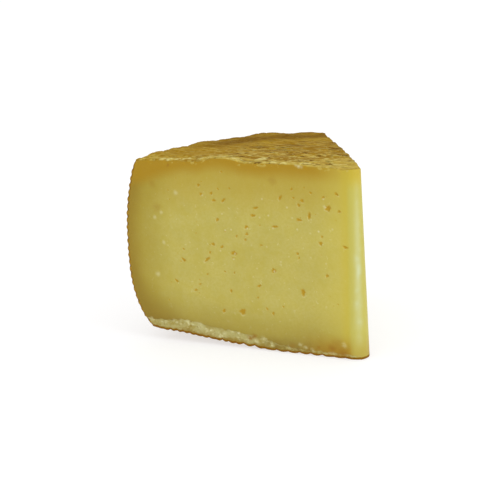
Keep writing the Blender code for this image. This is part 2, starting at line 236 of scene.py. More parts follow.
# Loose flakes on the top along the front cut: distance from the axis and from the cut, half length and width
FLAKES = (
    (82, 5.4, 1.3, 4.8), (74, 6, 2.2, 5), (88.5, 2.5, 1.4, 2.6), (85, 2.8, 1, 2.4),
    (91.5, 1.8, 1.5, 1.8), (66, 6.8, 2.6, 1.6), (49, 9.5, 2.8, 2.2), (40.5, 2, 1.8, 2),
    (35.8, 1.5, 1.6, 1.7), (27, 4.4, 2.4, 1.5), (58, 2.3, 2, 1.6),
)
FLAKE_HEIGHT = 0.4

# Dark and tan marks on the top, given in the same way
DARK_MARKS = (
    (39, 46, 10, 1.5), (26.5, 42, 4, 2.2), (52.9, 37, 4, 1.8), (61.2, 40.4, 6.5, 3.2),
    (50, 47.6, 6, 3.2), (47.4, 11.3, 3, 1.3), (33.5, 58, 6, 2), (78, 8, 3, 3.2),
)
TAN_MARKS = (
    (78, 39.5, 8, 6), (71, 48.5, 6, 4), (49.5, 31, 7, 4), (45, 51, 5, 3),
    (14, 15, 8, 8), (60, 22, 9, 5),
)

# Brown stains in the paste: distance from the axis, height, radius, and how strong
STAINS = (
    (94.8, 60.3, 2.3, 0.3), (96.3, 70.4, 1.9, 0.3), (88.6, 79.3, 0.7, 1), (52.9, 5.1, 1.6, 1),
    (50.9, 6.1, 1.5, 1), (33, 3.6, 1.8, 0.5), (21.6, 4, 1.3, 0.8), (15.2, 4.3, 2.4, 0.9),
    (13, 6.6, 3, 0.3), (10.4, 2.4, 3.4, 0.75), (40.2, 74.6, 2.1, 0.3),
)

# Pale crystals and chips in the paste, given in the same way
CRYSTALS = (
    (85.5, 67.2, 1.2, 0.6), (96.2, 55.9, 1, 0.6), (92.8, 58.1, 0.9, 0.6), (92.2, 44.8, 1, 0.6),
    (96, 30.2, 1.3, 0.6), (17.4, 65.3, 0.7, 0.6), (28.3, 81.2, 1, 0.85), (29.6, 81.9, 0.9, 0.7),
    (27, 81, 0.7, 0.5),
)

# How the surface takes the light. The bump's height and the reach under the surface are in millimetres
BUMP_STRENGTH = 0.7
BUMP_HEIGHT = 0.45
RIND_ROUGHNESS = 0.85
PASTE_ROUGHNESS = (0.36, 0.5)
CHALK_ROUGHNESS = 0.3
RIND_SPECULAR = 0.06
PASTE_SPECULAR = 0.22
SUBSURFACE = 0.05
SUBSURFACE_SPREAD = (1.0, 0.8, 0.35)
SUBSURFACE_REACH = 2.5


def smooth(low, high, value):
    """0 below low, 1 above high, and an even S-curve between them."""
    share = np.clip((value - low) / (high - low), 0.0, 1.0)
    return share * share * (3 - 2 * share)


def bell(value, middle, width):
    """1 at the middle, falling towards 0 on both sides."""
    return np.exp(-(((value - middle) / width) ** 2))


def lattice(column, row, seed):
    """A repeatable number from -1 to 1 for each whole-numbered place."""
    mixed = (column * 73856093) ^ (row * 19349663) ^ (seed * 83492791)
    mixed = (mixed ^ (mixed >> 13)) * 1274126177
    mixed = mixed ^ (mixed >> 16)
    return (mixed & 0xFFFF) / 32767.5 - 1.0


def ripple(x, y, seed):
    """Smooth noise from -1 to 1 with features one unit across."""
    column = np.floor(x).astype(np.int64)
    row = np.floor(y).astype(np.int64)
    across = smooth(0.0, 1.0, x - column)
    up = smooth(0.0, 1.0, y - row)
    low = lattice(column, row, seed) * (1 - across) + lattice(column + 1, row, seed) * across
    high = lattice(column, row + 1, seed) * (1 - across) + lattice(column + 1, row + 1, seed) * across
    return low * (1 - up) + high * up


def clouds(x, y, seed, layers=3):
    """Ripples of ever finer size, from about -1 to 1."""
    total = 0.0
    strength = 1.0
    for layer in range(layers):
        total = total + strength * ripple(x * 2**layer, y * 2**layer, seed + layer)
        strength *= 0.5
    return total / 1.5


def behind_second_cut(x, y):
    """How far a point of the plan lies inside the second cut's upper edge."""
    return -x * math.sin(WEDGE_ANGLE) - y * math.cos(WEDGE_ANGLE)


def lean_out(height):
    """How far the second cut stands out beyond its upper edge at a height."""
    return CUT_LEAN * (1 - height / WHEEL_HEIGHT)


def tip_rounding(height):
    """The radius that touches both cuts at a height."""
    return TIP_ROUNDING + lean_out(height) / (1 + math.cos(WEDGE_ANGLE))


BACK_ANGLE = WEDGE_ANGLE + math.asin(lean_out(BELLY_HEIGHT) / WHEEL_RADIUS)
AXIS_X = (WHEEL_RADIUS + TIP_REACH - tip_rounding(0.0)) / 2
AXIS_Y = -WHEEL_RADIUS * math.sin(BACK_ANGLE) / 2


def side_radius(height):
    """The wheel's radius at a height, before the basket's marks."""
    height = np.maximum(height, HEEL_HEIGHT)
    above = np.maximum(0.0, (height - BELLY_HEIGHT) / (WHEEL_HEIGHT - BELLY_HEIGHT))
    below = np.maximum(0.0, (BELLY_HEIGHT - height) / (BELLY_HEIGHT - HEEL_HEIGHT))
    return WHEEL_RADIUS - TOP_DRAW * above**2 - HEEL_DRAW * below**HEEL_POWER


HEEL_RADIUS = float(side_radius(HEEL_HEIGHT))


def rib(phase):
    """One strand's rounded back, 1 at its crest and 0 in the groove beside it."""
    return np.abs(np.sin(math.pi * phase))


def side_phase(height):
    """How many strands lie between the top edge and a height, measured along the rind."""
    heights = np.linspace(HEEL_HEIGHT - 1.0, WHEEL_HEIGHT + 4.0, 2000)
    radii = side_radius(heights)
    steps = np.hypot(np.diff(heights), np.diff(radii))
    lengths = np.concatenate([[0.0], np.cumsum(steps)])
    at_edge = np.interp(WHEEL_HEIGHT, heights, lengths)
    return (at_edge - np.interp(height, heights, lengths)) / SIDE_PITCH


def base_phase(radius):
    """The same along the underside, going on from the heel."""
    outer = np.maximum(0.0, HEEL_RADIUS - np.maximum(radius, CENTRE_RADIUS)) / SIDE_PITCH
    inner = np.maximum(0.0, CENTRE_RADIUS - radius) / CENTRE_PITCH
    return side_phase(HEEL_HEIGHT) + outer + inner


def curl(radius, start):
    """How far the underside has risen at a radius, if it starts to rise at another."""
    share = np.maximum(0.0, (radius - start) / (HEEL_RADIUS - start))
    return HEEL_HEIGHT * share**CURL_POWER


def underside_height(x, y):
    """The underside's height at its crests: flat inside, curled up at the heel and along the cuts."""
    radius = np.hypot(x, y)
    inside = smooth(0.0, CURL_REACH, np.minimum(y, behind_second_cut(x, y) + CUT_LEAN))
    at_cut = curl(radius, CURL_RADIUS)
    sag = HEEL_SAG * bell(radius, HEEL_SAG_RADIUS, HEEL_SAG_WIDTH) * (1 - inside)
    return CREST_LIFT + at_cut - sag + (curl(radius, FLAT_RADIUS) - at_cut) * inside


def base_groove(x, y):
    """How deep the basket's grooves are in the underside. They are deepest beside the cuts."""
    radius = np.hypot(x, y)
    beside = 1 - smooth(0.0, EDGE_GROOVE_REACH, np.minimum(y, behind_second_cut(x, y) + CUT_LEAN))
    inside = smooth(0.0, UNMARKED_RADIUS, radius)
    uneven = EDGE_GROOVE_SHARE + EDGE_GROOVE_CHANGE * ripple(x / 4.1, y / 9, 95)
    at_cut = EDGE_GROOVE * uneven * smooth(0.0, EDGE_UNMARKED, radius)
    return BASE_RIB * (1 - rib(base_phase(radius))) * (inside + (at_cut - inside) * beside)


def top_height(x, y):
    """The top's height: crowned, swollen at one place, and marked by the mat's slats and reeds."""
    radius = np.hypot(x, y)
    crown = CROWN_HEIGHT * bell(radius, CROWN_RADIUS, CROWN_WIDTH)
    swell = SWELL_HEIGHT * np.exp(-(((x + SWELL_RADIUS) / SWELL_WIDTH) ** 4) - (y / SWELL_DEPTH) ** 2)
    slats = SLAT_RELIEF * (rib(y / SLAT_PITCH + SLAT_PHASE) - RIB_MEAN)
    wave = 1 - REED_WAVE_SHARE + REED_WAVE_SHARE * np.sin(x / REED_WAVE_X + y / REED_WAVE_Y)
    reeds = REED_RELIEF * (rib(y / REED_PITCH) - RIB_MEAN) * wave
    places = zip(np.ravel(x) / UNEVENNESS_SIZE, np.ravel(y) / UNEVENNESS_SIZE)
    uneven = np.array([noise.noise(Vector((across, along, 0.0))) for across, along in places])
    uneven = UNEVENNESS * uneven.reshape(np.shape(x))
    edge = side_radius(WHEEL_HEIGHT)
    behind = behind_second_cut(x, y)
    second = SECOND_FALL * (1 - smooth(0.0, CUT_FALL_REACH, behind))
    second = second * smooth(SECOND_FALL_START, edge, radius)
    rim = RIM_FALL - RIM_WAVE * np.cos(2 * math.pi * (np.arctan2(y, -x) - RIM_WAVE_FIRST) / RIM_WAVE_ANGLE)
    rim = rim * (1 - smooth(0.0, RIM_FALL_REACH, edge - radius))
    corner = CORNER_FALL * (1 - smooth(0.0, CORNER_FALL_REACH, behind))
    corner = corner * (1 - smooth(0.0, CORNER_FALL_REACH, edge - radius))
    return WHEEL_HEIGHT + TOP_LEVEL + crown + swell + slats + reeds + uneven - second - rim - corner


def top_streaks(x, y):
    """The rind's fine lengthwise wrinkles, from about -1 to 1."""
    wander = 1.2 * ripple(x / 16, y / 16, 31)
    coarse = clouds(x / 9, (y + wander) / 1.5, 32, 2)
    fine = ripple(x / 3.5, (y + wander) / 0.75, 35)
    return 0.65 * coarse + 0.35 * fine


def shares(count):
    """Even steps from 0 to 1."""
    return np.linspace(0.0, 1.0, count + 1)


class Wall:
    """The skin's upright part: columns round the plan's outline, rows up each of them."""

    def __init__(self):
        corner = shares(CORNER_COLUMNS)[1:]
        self.sections = (
            ("front", shares(FRONT_COLUMNS), False),
            ("corner", corner, False),
            ("rim", shares(RIM_COLUMNS)[1:-1], False),
            ("corner", corner[::-1], True),
            ("front", shares(SECOND_COLUMNS)[::-1], True),
            ("tip", shares(TIP_COLUMNS)[1:-1], False),
        )
        self.heights()

    def outline(self, z):
        """Plan places and outward normals of all columns, at the heights given per column."""
        parts = []
        start = 0
        for kind, share, mirrored in self.sections:
            height = z[start : start + len(share)]
            start += len(share)
            flare = smooth(WHEEL_HEIGHT - CORNER_FLARE, WHEEL_HEIGHT - 1.0, height)
            rounding = CORNER_ROUNDING + (CORNER_TOP_ROUNDING - CORNER_ROUNDING) * flare
            out = lean_out(height)
            place = getattr(self, kind)(share[:, None], height, rounding, out if mirrored else 0 * out)
            parts.append(reflected(*place) if mirrored else place)
        return [np.concatenate(values) for values in zip(*parts)]

    def front(self, share, height, rounding, out):
        """Along a cut, from the tip's rounding to the corner's. The cut lies at -out in the plan."""
        start = -TIP_REACH - out * math.tan(WEDGE_ANGLE / 2)
        end = -np.sqrt((side_radius(height) - rounding) ** 2 - (rounding - out) ** 2)
        x = start + share * (end - start)
        return x, -out + 0 * x, 0 * x, 0 * x - 1

    def corner(self, share, height, rounding, out):
        inner = side_radius(height) - rounding
        lean = np.arcsin((rounding - out) / inner)
        angle = -math.pi / 2 - share * (math.pi / 2 + lean)
        nx, ny = np.cos(angle), np.sin(angle)
        return rounding * nx - inner * np.cos(lean), rounding * (1 + ny) - out, nx, ny

    def rim(self, share, height, rounding, out):
        radius = side_radius(height)
        start = np.arcsin(rounding / (radius - rounding))
        end = WEDGE_ANGLE - np.arcsin((rounding - lean_out(height)) / (radius - rounding))
        angle = start + share * (end - start)
        nx, ny = -np.cos(angle), np.sin(angle)
        return radius * nx, radius * ny, nx, ny

    def tip(self, share, height, rounding, out):
        angle = math.pi / 2 - WEDGE_ANGLE - share * (math.pi - WEDGE_ANGLE) + 0 * height
        nx, ny = np.cos(angle), np.sin(angle)
        return -TIP_REACH + tip_rounding(height) * nx, tip_rounding(height) * (1 + ny), nx, ny

    def on_cut(self):
        """Per column, 1 where it is on a cut or the tip and 0 on the rim, falling quickly at the corners."""
        parts = []
        for kind, share, _ in self.sections:
            if kind == "corner":
                parts.append(1 - smooth(0.0, 0.5, share))
            else:
                parts.append(np.full(len(share), 0.0 if kind == "rim" else 1.0))
        return np.concatenate(parts)

    def heights(self):
        """Place, normal and tilt of every point, from the underside's edge round to the top's."""
        columns = sum(len(share) for _, share, _ in self.sections)
        foot_x, foot_y = self.outline(np.full((columns, 1), HEEL_HEIGHT))[:2]
        head_x, head_y = self.outline(np.full((columns, 1), WHEEL_HEIGHT))[:2]
        bottom = underside_height(foot_x, foot_y) + base_groove(foot_x, foot_y)
        top = top_height(head_x, head_y)
        cut = self.on_cut()[:, None]
        crumble = smooth(0.05, 0.7, clouds((head_x - head_y) / 3.1, head_y / 3.1, 41))
        cut_top = CUT_TOP_ROUNDING + CUT_TOP_CRUMBLE * crumble
        top_rounding = cut * cut_top + (1 - cut) * RIM_TOP_ROUNDING
        base_rounding = cut * CUT_BASE_ROUNDING + (1 - cut) * RIM_BASE_ROUNDING
        lower = bottom + base_rounding
        upper = top - top_rounding
        rows = shares(WALL_ROWS)
        bend = np.linspace(0.0, math.pi / 2, ROUND_ROWS + 1)[1:]
        self.tilt = np.tile(np.concatenate([-bend[::-1], 0 * rows, bend]), (columns, 1))
        below = lower + base_rounding * np.sin(-bend[::-1])
        above = upper + top_rounding * np.sin(bend)
        self.z = np.concatenate([below, lower + (upper - lower) * rows, above], 1)
        inset = np.where(self.tilt < 0, base_rounding, top_rounding) * (1 - np.cos(self.tilt))
        x, y, self.nx, self.ny = self.outline(self.z)
        self.x = x - self.nx * inset
        self.y = y - self.ny * inset


def reflected(x, y, nx, ny):
    """The same points and normals on the other side of the plane midway between the cuts."""
    middle = math.pi - WEDGE_ANGLE / 2
    across, up = math.cos(middle), math.sin(middle)

    def turned(px, py):
        along = 2 * (px * across + py * up)
        return along * across - px, along * up - py

    return (*turned(x, y), *turned(nx, ny))


def cap_points(edge, stretch):
    """Even plan points inside an edge, set back from it and stretched along X."""
    (left, front), (right, back) = edge.min(0), edge.max(0)
    step_x = CAP_SPACING * stretch
    step_y = CAP_SPACING * 0.87 / stretch
    rows = np.arange(front, back, step_y)
    points = []
    for index, y in enumerate(rows):
        across = np.arange(left + (index % 2) * step_x / 2, right, step_x)
        points.append(np.stack([across, np.full_like(across, y)], 1))
    points = np.concatenate(points)
    inside = np.zeros(len(points), bool)
    nearest = np.full(len(points), 1e9)
    for (x0, y0), (x1, y1) in zip(edge, np.roll(edge, -1, 0)):
        crosses = (points[:, 1] < y0) != (points[:, 1] < y1)
        meets = x0 + (points[:, 1] - y0) / (y1 - y0 if y1 != y0 else 1.0) * (x1 - x0)
        inside ^= crosses & (points[:, 0] < meets)
        nearest = np.minimum(nearest, (points[:, 0] - x0) ** 2 + (points[:, 1] - y0) ** 2)
    return points[inside & (nearest > CAP_MARGIN**2)]


def cap_faces(edge, inner):
    """Triangles over an edge loop and the points inside it, numbered edge first."""
    places = [Vector(place) for place in np.concatenate([edge, inner])]
    loop = list(range(len(edge)))
    result = geometry.delaunay_2d_cdt(places, [], [loop], 1, 1e-7)
    source = [origins[0] for origins in result[3]]
    return np.array([[source[corner] for corner in face] for face in result[2]])


def write_layers(mesh, layers):
    for name, values in layers:
        mesh.attributes.new(name, "FLOAT", "POINT").data.foreach_set("value", values)


def base_skin():
    """The skin with no relief, as a mesh with layers."""
    wall = Wall()
    columns, rows = wall.z.shape
    places = np.stack([wall.x, wall.y, wall.z], 2).reshape(-1, 3)
    turn = wall.tilt
    cut = np.repeat(wall.on_cut()[:, None], rows, 1)
    layers = [wall.nx * np.cos(turn), wall.ny * np.cos(turn), np.sin(turn), cut, turn / (math.pi / 2)]
    layers = [np.stack(layers, 2).reshape(-1, len(LAYERS))]
    number = np.arange(columns * rows).reshape(columns, rows)
    beside = np.roll(number, -1, 0)
    quads = np.stack([number[:, :-1], number[:, 1:], beside[:, 1:], beside[:, :-1]], 2).reshape(-1, 4)
    faces = [tuple(quad) for quad in quads]
    verts = [places]
    count = len(places)
    for row, tilt, stretch in ((rows - 1, 1.0, 1.35), (0, -1.0, 1.0)):
        loop = number[:, row]
        edge = places[loop, :2]
        inner = cap_points(edge, stretch)
        ids = np.concatenate([loop, np.arange(count, count + len(inner))])
        triangles = ids[cap_faces(edge, inner)]
        if tilt < 0:
            triangles = triangles[:, ::-1]
        faces.extend(tuple(triangle) for triangle in triangles)
        verts.append(np.pad(inner, ((0, 0), (0, 1))))
        layers.append(np.tile([0.0, 0.0, tilt, 0.0, tilt], (len(inner), 1)))
        count += len(inner)
    mesh = bpy.data.meshes.new(NODE + "_skin")
    mesh.from_pydata(np.concatenate(verts), [], faces)
    write_layers(mesh, zip(LAYERS, np.concatenate(layers).T.copy()))
    return mesh


def scattered_eyes(count, sizes, seed, area):
    """Seeded eyes inside an area."""
    chance = np.random.default_rng(seed)
    near, far, low, high = area
    for _ in range(count):
        size = chance.uniform(*sizes)
        shape = chance.uniform(0.7, 1.4)
        place = chance.uniform(near, far), chance.uniform(low, high)
        yield (*place, size * shape, size / shape, chance.uniform(-60, 60))


def front_eyes():
    chance = np.random.default_rng(11)
    small = []
    for distance, height in SMALL_EYES:
        size = chance.uniform(*SMALL_EYE_SIZE)
        shape = chance.uniform(0.75, 1.45)
        small.append((distance, height, size * shape, size / shape, chance.uniform(-50, 50)))
    pores = scattered_eyes(PORE_COUNT, PORE_SIZE, 12, PORE_AREA)
    return [*LARGE_EYES, *small, *pores]


def second_eyes():
    large = scattered_eyes(SECOND_LARGE_COUNT, SECOND_LARGE_SIZE, 21, SECOND_LARGE_AREA)
    small = scattered_eyes(SECOND_EYE_COUNT, SMALL_EYE_SIZE, 22, SECOND_EYE_AREA)
    pores = scattered_eyes(PORE_COUNT, PORE_SIZE, 23, PORE_AREA)
    return [*large, *small, *pores]


def second_glints():
    """A painted highlight just below every third eye of the second cut."""
    return [(distance + 0.5, height - 0.9, GLINT_SIZE, 0.8) for distance, height, *_ in second_eyes()[::3]]


def cut_places(x, y, z):
    """Distance from the axis along each cut, and whether a point lies on the flat of it."""
    behind = behind_second_cut(x, y) + lean_out(z)
    along_second = -x * math.cos(WEDGE_ANGLE) + y * math.sin(WEDGE_ANGLE)
    return (-x, np.abs(y) < 1e-3), (along_second, np.abs(behind) < 1e-3)


def divide(shape, wanted, cuts):
    """Divides the edges of the faces that are wanted, given each face's middle."""
    shape.faces.ensure_lookup_table()
    centres = np.array([face.calc_center_median() for face in shape.faces])
    edges = {edge for index in np.flatnonzero(wanted(*centres.T)) for edge in shape.faces[index].edges}
    bmesh.ops.subdivide_edges(shape, edges=list(edges), cuts=cuts, use_grid_fill=True)


def refine(mesh):
    """Divides the skin more finely round the eyes and along the broken edge."""

    def by_an_eye(x, y, z):
        found = np.zeros(len(x), bool)
        glints = [(distance, height, GLINT_SIZE, GLINT_SIZE, 0) for distance, height, _ in GLINTS]
        for (along, flat), eyes in zip(cut_places(x, y, z), ([*front_eyes(), *glints], second_eyes())):
            for distance, height, half_width, half_height, _ in eyes:
                reach = max(half_width, half_height) + REFINED_ROUND_EYE
                found |= flat & (np.hypot(along - distance, z - height) < reach)
        return found

    def by_the_break(x, y, z):
        along, flat = cut_places(x, y, z)[0]
        low = z - underside_height(x, 0 * x) < BREAK_HEIGHT * 1.3
        return flat & low & (along > BREAK_START)

    shape = bmesh.new()
    shape.from_mesh(mesh)
    divide(shape, by_an_eye, 2)
    divide(shape, by_the_break, 1)
    shape.to_mesh(mesh)
    shape.free()


def eye_relief(along, height, eyes, on_flat):
    """How deep the eyes sink in a cut, and how much each point is of an eye and of the painted highlight on
    its rim.
    """
    depth = np.zeros_like(along)
    mask = np.zeros_like(along)
    eye_highlight = np.zeros_like(along)
    for index, (distance, centre, half_width, half_height, lean) in enumerate(eyes):
        reach = 1.6 * max(half_width, half_height)
        close = (np.abs(along - distance) < reach) & (np.abs(height - centre) < reach)
        near = np.flatnonzero(on_flat & close)
        across = distance - along[near]
        up = height[near] - centre
        turn = math.radians(lean)
        u = across * math.cos(turn) + up * math.sin(turn)
        v = up * math.cos(turn) - across * math.sin(turn)
        angle = np.arctan2(v, u)
        ragged = 1 + 0.13 * np.sin(3 * angle + index) + 0.1 * np.sin(5 * angle + 2.3 * index)
        from_centre = np.hypot(u / half_width, v / half_height) / ragged
        bowl = np.sqrt(np.clip(1 - from_centre**2, 0.0, 1.0))
        size = math.sqrt(half_width * half_height)
        depth[near] = np.maximum(depth[near], EYE_DEPTH * size * bowl)
        strength = 0.75 + 0.25 * smooth(0.3, 0.9, size)
        mask[near] = np.maximum(mask[near], strength * (1 - smooth(0.5, 1.45, from_centre)))
        # Painted highlight on the eye's rim, mostly below it
        facing = np.clip(np.cos(np.arctan2(up, across) - EYE_HIGHLIGHT_TURN - 0.8 * math.sin(index)), 0.0, 1.0)
        eye_highlight[near] = np.maximum(eye_highlight[near], strength * facing**2 * bell(from_centre, EYE_HIGHLIGHT_DISTANCE, EYE_HIGHLIGHT_WIDTH))
    return depth, mask, eye_highlight


def break_band(distance):
    """Height of the broken band over the front cut's lower edge."""
    strength = BREAK_THIN + (1 - BREAK_THIN) * smooth(BREAK_START, BREAK_FULL, distance)
    ragged = 0.12 * clouds(distance / 9, 0 * distance, 51) + 0.07 * ripple(distance / 1.6, 0 * distance, 52)
    heel = 1 - BREAK_HEEL_SHARE * smooth(BREAK_HEEL_START, HEEL_RADIUS, distance)
    swell = BREAK_SWELL * bell(distance, BREAK_SWELL_DISTANCE, BREAK_SWELL_WIDTH)
    return BREAK_HEIGHT * strength * heel * (1 + ragged + swell)


def spots(across, up, places, reach):
    """How much each point lies in one of the soft round spots, times the spot's strength."""
    share = np.zeros(len(across))
    for spot_across, spot_up, size, strength in places:
        off = np.hypot(across - spot_across, up - spot_up) / size
        share = np.maximum(share, strength * (1 - smooth(0.0, reach, off)))
    return share


def marks(x, y, places, lean, ragged, size, low):
    """How much each plan point lies on one of the top's marks, which lean and have ragged edges."""
    share = np.zeros(len(x))
    edge = ragged * clouds(x / size, y / size, 91, 2)
    for distance, behind, half_length, half_width in places:
        across = -x - distance
        along = y - behind + lean * across
        off = np.hypot(across / half_length, along / half_width) + edge
        share = np.maximum(share, 1 - smooth(low, 1.0, off))
    return share


def side_relief(x, y, z):
    """The rim's relief, and the backs of the strands that are pressed into it, from 0 to 1."""
    angle = np.arctan2(y, -x)
    phase = side_phase(z)
    woven = 1 - WEAVE_SHARE + WEAVE_SHARE * np.cos(math.pi * (angle / STAKE_ANGLE + 0.5 + np.floor(phase)))
    depth = HEEL_RIB + (SIDE_RIB - HEEL_RIB) * smooth(HEEL_RIB_TOP, SIDE_RIB_BOTTOM, z)
    from_cut = np.minimum(y, behind_second_cut(x, y) + lean_out(z))
    depth = depth * (EDGE_RIB + (1 - EDGE_RIB) * smooth(0.0, EDGE_RIB_REACH, from_cut))
    ribs = rib(phase) * woven
    fibres = FIBRE_RELIEF * ripple(angle * WHEEL_RADIUS / 4, z / 0.7, 61)
    return depth * (ribs - 0.5) + (fibres + FIBRE_CLOUDS * clouds(angle * 60, z / 2, 62)), ribs


def cut_waves(x, z, radius, along_second, front_half):
    """How far the knife's slightly wavy cuts stand out."""
    front = FRONT_WAVE * clouds(x / 30, z / 24, 71, 2) + FINE_WAVE * clouds(x / 5, z / 5, 72, 2)
    second = SECOND_WAVE * clouds(along_second / 26, z / 30, 73, 2)
    second = second + FINE_WAVE * clouds(along_second / 5, z / 5, 74)
    fade = smooth(0.0, TIP_FADE, radius - TIP_REACH) * smooth(0.0, RIM_FADE, side_radius(z) - radius)
    return np.where(front_half, front, second) * fade


def relief(mesh):
    """Moves every point of the skin to its place in the relief, and writes what the material reads."""
    count = len(mesh.vertices)
    places = np.empty(count * 3)
    mesh.vertices.foreach_get("co", places)
    x, y, z = places.reshape(-1, 3).T.copy()
    layers = np.empty((len(LAYERS), count))
    for name, values in zip(LAYERS, layers):
        mesh.attributes[name].data.foreach_get("value", values)
        mesh.attributes.remove(mesh.attributes[name])
    nx, ny, nz, cut, tilt = layers
    radius = np.hypot(x, y)
    (along_front, on_front), (along_second, on_second) = cut_places(x, y, z)
    front_half = y < behind_second_cut(x, y)
    top = top_height(x, y)
    bottom = underside_height(x, y)
    groove = base_groove(x, y)
    is_top = tilt > 0.999
    is_base = tilt < -0.999
    upward = smooth(0.0, 1.0, tilt)
    downward = smooth(0.0, 1.0, -tilt)

    upright = np.abs(tilt) < 1e-6
    flat_front = on_front & upright
    flat_second = on_second & upright
    front_depth, front_eye, front_eye_highlight = eye_relief(along_front, z, front_eyes(), flat_front)
    second_depth, second_eye, second_eye_highlight = eye_relief(along_second, z, second_eyes(), flat_second)
    cut_face = cut_waves(x, z, radius, along_second, front_half) - front_depth - second_depth
    side, ribs = side_relief(x, y, z)
    streaks = top_streaks(x, y)
    flake = marks(x, y, FLAKES, lean=0.35, ragged=0.35, size=1.3, low=0.65)
    top_relief = STREAK_RELIEF * streaks + FLAKE_HEIGHT * flake
    level = (1 - cut) * side + cut * cut_face
    amount = level * (1 - upward) * (1 - downward) + top_relief * upward
    moved_x = x + nx * amount
    moved_y = y + ny * amount
    moved_z = z + nz * np.where(tilt > 0, amount, 0.0)
    moved_z = np.where(is_top, top + top_relief, moved_z)
    moved_z = np.where(is_base, bottom + groove, moved_z)

    above_base = np.where(is_base, 0.0, z - bottom - LINE_LIFT * groove)
    above_base = np.where(is_top, WHEEL_HEIGHT, above_base)
    band = break_band(along_front)
    nearness = np.clip(1 - np.maximum(y, 0.0) / BREAK_WARP_REACH, 0.0, 1.0) ** 2
    torn = (1 - smooth(-0.2, 0.2, above_base - band)) * nearness
    torn = torn * (along_front < HEEL_RADIUS + 6) * smooth(0.0, 1.5, band)
    torn = np.where(front_half & (tilt < 0.5), torn, 0.0)
    lean = 0.3 + 0.7 * np.clip(1 - above_base / np.maximum(band, 0.3), 0.0, 1.0)
    lumps = 0.2 * clouds(x / 2.6, z / 2.2, 81) + 0.1 * ripple(x / 0.8, z / 0.7, 84)
    warped_x = clouds(x / 1.5, z / 1.1, 86, 2)
    warped_z = 0.7 * clouds(x / 1.7, z / 1.3, 88, 2)
    crumb = spots(along_front + warped_x, above_base + warped_z, CRUMBS, 1.2)
    crumb = crumb * (nearness > 0.8) * front_half * (tilt < 0.5)
    moved_y = moved_y + torn * (BREAK_DEPTH * lean + lumps) - CRUMB_HEIGHT * crumb
    moved = np.stack([(moved_x + AXIS_X) * MM, (moved_y + AXIS_Y) * MM, moved_z * MM], 1)
    mesh.vertices.foreach_set("co", moved.ravel())

    in_front = (y < 1.5) & front_half & (np.abs(tilt) < 0.99)
    crystal_and_glint = spots(along_front + 0.4 * warped_x, z + 0.4 * warped_z, CRYSTALS, 1.3) * in_front
    # The glints are painted highlights, laid in with the pale crystals
    front_glints = [(distance, height, GLINT_SIZE, bright) for distance, height, bright in GLINTS]
    crystal_and_glint = np.maximum(crystal_and_glint, spots(along_front, z, front_glints, 1.5) * flat_front)
    crystal_and_glint = np.maximum(crystal_and_glint, spots(along_second, z, second_glints(), 1.5) * flat_second)
    # The rind's relief height, 0 deep in a groove; on the side and underside it gives painted shade in the
    # grooves
    rind_height = np.where(is_top | (tilt > 0.5), 0.5 + 0.5 * streaks, ribs)
    rind_height = np.where(is_base, 1 - groove / BASE_RIB, rind_height)
    # The tip's paler strip follows which way the surface faces: painted highlight, partly a paler worn edge
    turned = np.degrees(np.arctan2(ny, nx))
    strip = TIP_HIGHLIGHT_BASE_TURN + (TIP_HIGHLIGHT_TURN - TIP_HIGHLIGHT_BASE_TURN) * z / WHEEL_HEIGHT
    tip_wear_and_highlight = bell(turned, strip, TIP_HIGHLIGHT_WIDTH) * cut * (radius < 2 * TIP_REACH)
    tip_wear_and_highlight = tip_wear_and_highlight * smooth(*TIP_HIGHLIGHT_FADE, top - z) * smooth(*TIP_HIGHLIGHT_FADE, z)
    written = {
        "paste": cut * (1 - smooth(0.25, 0.8, tilt)) * (1 - smooth(0.05, 0.5, -tilt)),
        "below_top": np.where(is_top, 0.0, np.maximum(0.0, top - z)),
        "in_from_rim": np.maximum(0.0, side_radius(z) - radius),
        "above_base": np.maximum(0.0, above_base),
        "eye": np.maximum(front_eye, second_eye),
        "eye_highlight": np.maximum(front_eye_highlight, second_eye_highlight),
        "chalk": torn,
        "in_break": np.clip(above_base / np.maximum(band, 0.5), 0.0, 1.0),
        "rind_height": rind_height,
        "on_top": upward,
        "flake": flake * (tilt > 0),
        "dark_mark": marks(x, y, DARK_MARKS, lean=0.1, ragged=0.6, size=2.5, low=0.3),
        "tan_mark": marks(x, y, TAN_MARKS, lean=0.1, ragged=0.6, size=4.0, low=0.2),
        "crystal_and_glint": crystal_and_glint,
        "stain": spots(along_front + warped_x, z + warped_z, STAINS, 1.3) * flat_front,
        "crumb": crumb,
        "tip_wear_and_highlight": tip_wear_and_highlight,
        "from_axis": radius,
        "from_front": y,
    }
    write_layers(mesh, written.items())


def colour(*tint):
    """A linear colour from its sRGB values out of 255."""
    values = [value / 255 for value in tint]
    linear = [value / 12.92 if value < 0.04045 else ((value + 0.055) / 1.055) ** 2.4 for value in values]
    return (*linear, 1.0)


